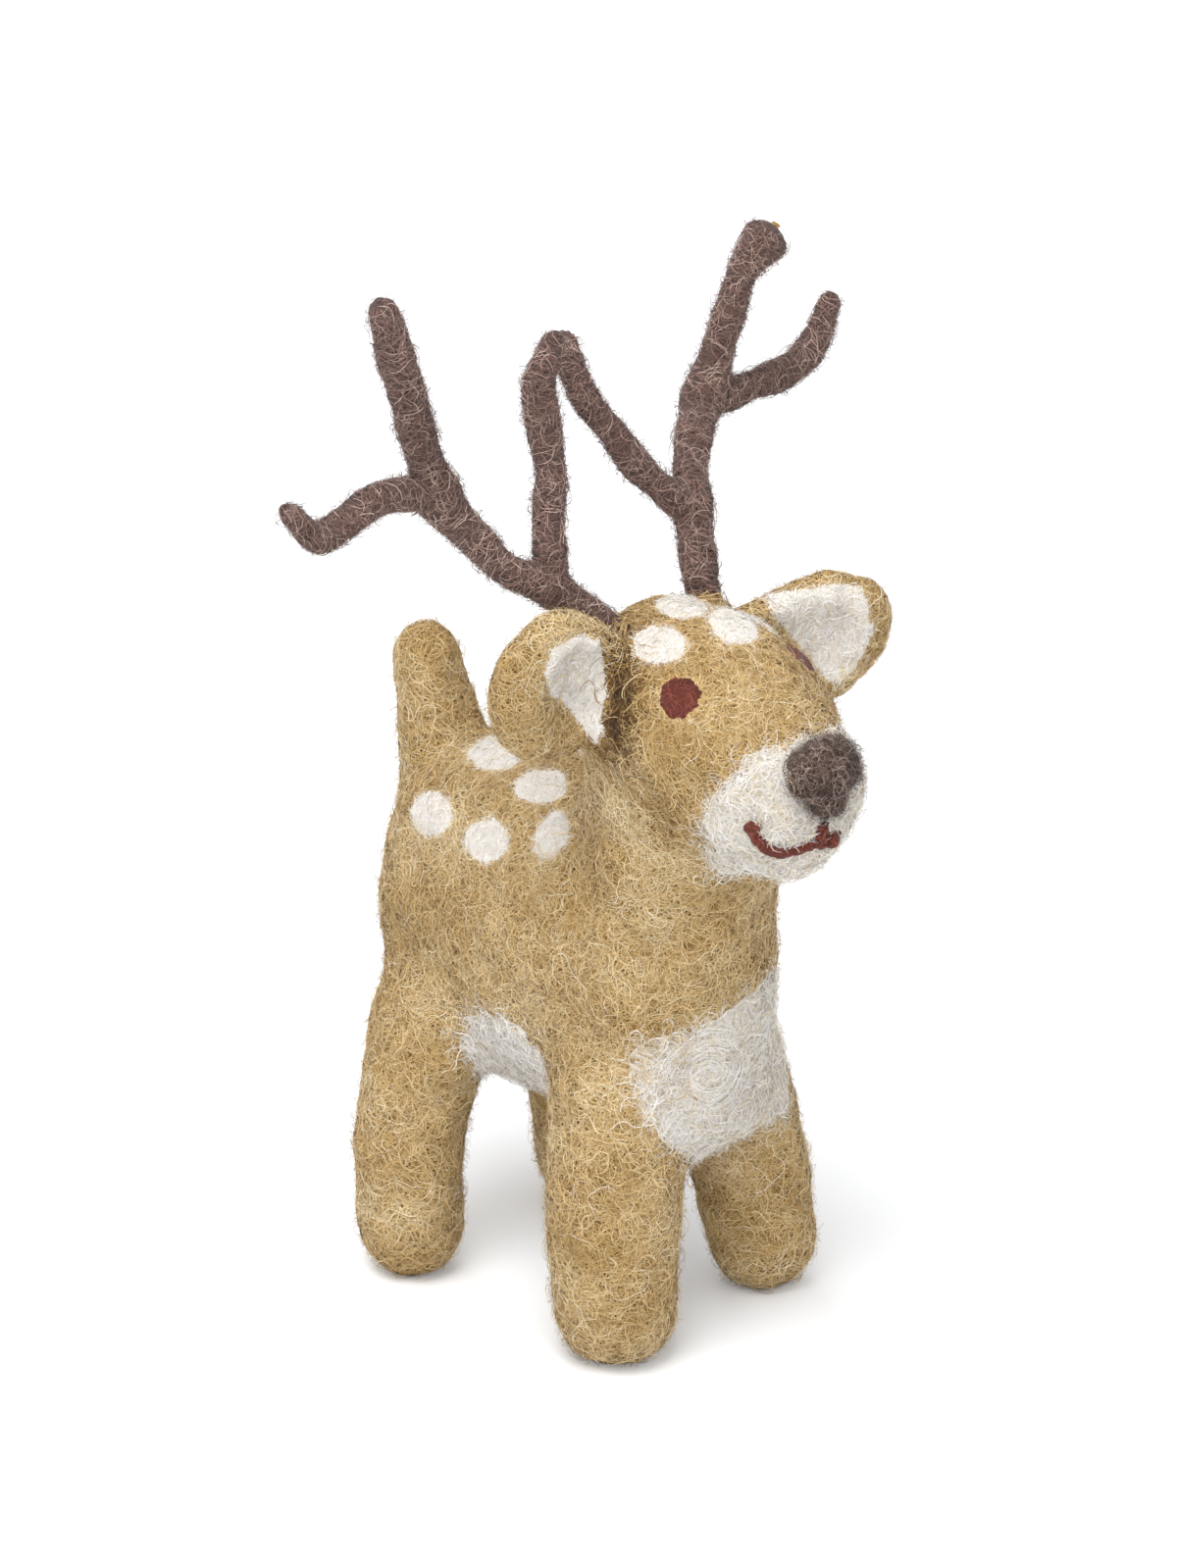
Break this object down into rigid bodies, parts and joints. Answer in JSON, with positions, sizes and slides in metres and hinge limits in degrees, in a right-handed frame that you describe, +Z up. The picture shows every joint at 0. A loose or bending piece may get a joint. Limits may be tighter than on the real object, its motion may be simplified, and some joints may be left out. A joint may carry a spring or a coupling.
{
  "type": "deer ornament",
  "caption": "Standing felted deer ornament with a tall neck, cupped ears, an upright tail, splayed legs, white spots and forked yarn-wrapped wire antlers.",
  "frame": {"origin": "on the ground under the middle of the bounding box", "axes": "+Z up, -Y the way the deer faces, +X to the deer's own left; a lateral section is taken in X"},
  "size_m": [0.0986, 0.083, 0.1462],
  "materials": {
    "tan_felt": "matt needle-felted wool, tan with paler and darker fibres, fuzzy surface",
    "white_wool": "matt white wool, loosely felted with wispy edges",
    "dark_wool": "matt dark grey-brown wool, tightly felted",
    "rust_wool": "matt rust-red wool strand",
    "brown_yarn": "fine brown wool yarn wound in close turns, slightly hairy",
    "wire": "bare golden craft wire"
  },
  "bodies": {
    "root": {"antler_binding_lower_left": "brown_yarn", "antler_binding_lower_right": "brown_yarn", "antler_binding_upper_left": "brown_yarn", "antler_binding_upper_right": "brown_yarn", "antler_wire_inner_tine_left": "wire", "antler_wire_inner_tine_right": "wire", "antler_wire_main_left": "wire", "antler_wire_main_right": "wire", "antler_wire_outer_tine_left": "wire", "antler_wire_outer_tine_right": "wire", "antler_yarn_inner_tine_left": "brown_yarn", "antler_yarn_inner_tine_right": "brown_yarn", "antler_yarn_main_left": "brown_yarn", "antler_yarn_main_right": "brown_yarn", "antler_yarn_outer_tine_left": "brown_yarn", "antler_yarn_outer_tine_right": "brown_yarn", "back_spot_left_1": "white_wool", "back_spot_left_2": "white_wool", "back_spot_left_3": "white_wool", "back_spot_left_4": "white_wool", "back_spot_left_5": "white_wool", "back_spot_right_1": "white_wool", "back_spot_right_2": "white_wool", "back_spot_right_3": "white_wool", "back_spot_right_4": "white_wool", "back_spot_right_5": "white_wool", "belly_patch": "white_wool", "chest_patch": "white_wool", "ear_left": "tan_felt", "ear_lining_left": "white_wool", "ear_lining_right": "white_wool", "ear_right": "tan_felt", "eye_left": "rust_wool", "eye_right": "rust_wool", "forehead_spot_1": "white_wool", "forehead_spot_2": "white_wool", "forehead_spot_3": "white_wool", "forehead_spot_4": "white_wool", "head": "tan_felt", "leg_front_left": "tan_felt", "leg_front_right": "tan_felt", "leg_rear_left": "tan_felt", "leg_rear_right": "tan_felt", "mouth": "rust_wool", "muzzle_patch": "white_wool", "nose": "dark_wool", "tail": "tan_felt", "torso": "tan_felt"}
  },
  "joints": []
}
